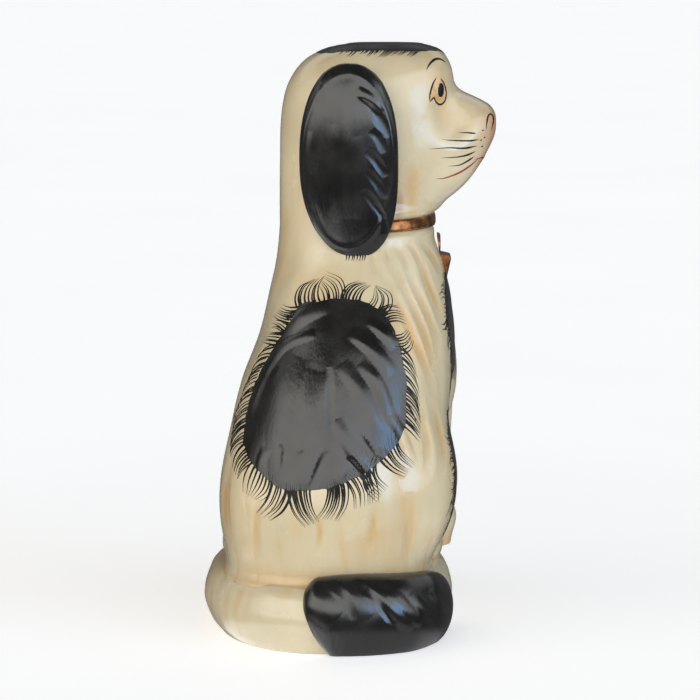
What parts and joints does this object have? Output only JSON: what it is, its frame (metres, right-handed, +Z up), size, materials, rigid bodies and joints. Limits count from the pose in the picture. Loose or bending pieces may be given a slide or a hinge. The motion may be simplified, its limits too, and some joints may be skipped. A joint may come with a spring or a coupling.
{
  "type": "dog figurine",
  "caption": "Seated spaniel mantel figurine in glazed earthenware on a low oval plinth, head turned to the display side, standing free on its flat foot.",
  "frame": {"origin": "centre of the footprint of the bounding box, on the surface the plinth stands on", "axes": "+Z up; +X the way the seated body faces; -Y the display side, the way the head faces"},
  "size_m": [0.1942, 0.1514, 0.3],
  "materials": {
    "cream_glaze": "clear glossy glaze over cream earthenware, ochre wash in the hollows",
    "black_enamel": "glossy black enamel, hand painted",
    "copper_lustre": "thin copper-gold lustre on glaze"
  },
  "bodies": {
    "root": {"plinth": "cream_glaze", "torso": "cream_glaze", "head": "cream_glaze", "ear_right": "black_enamel", "ear_left": "black_enamel", "collar": "copper_lustre", "padlock": "copper_lustre", "foreleg_right": "cream_glaze", "foreleg_left": "cream_glaze", "hind_paw_right": "cream_glaze", "hind_paw_left": "cream_glaze", "tail": "black_enamel"}
  },
  "joints": []
}
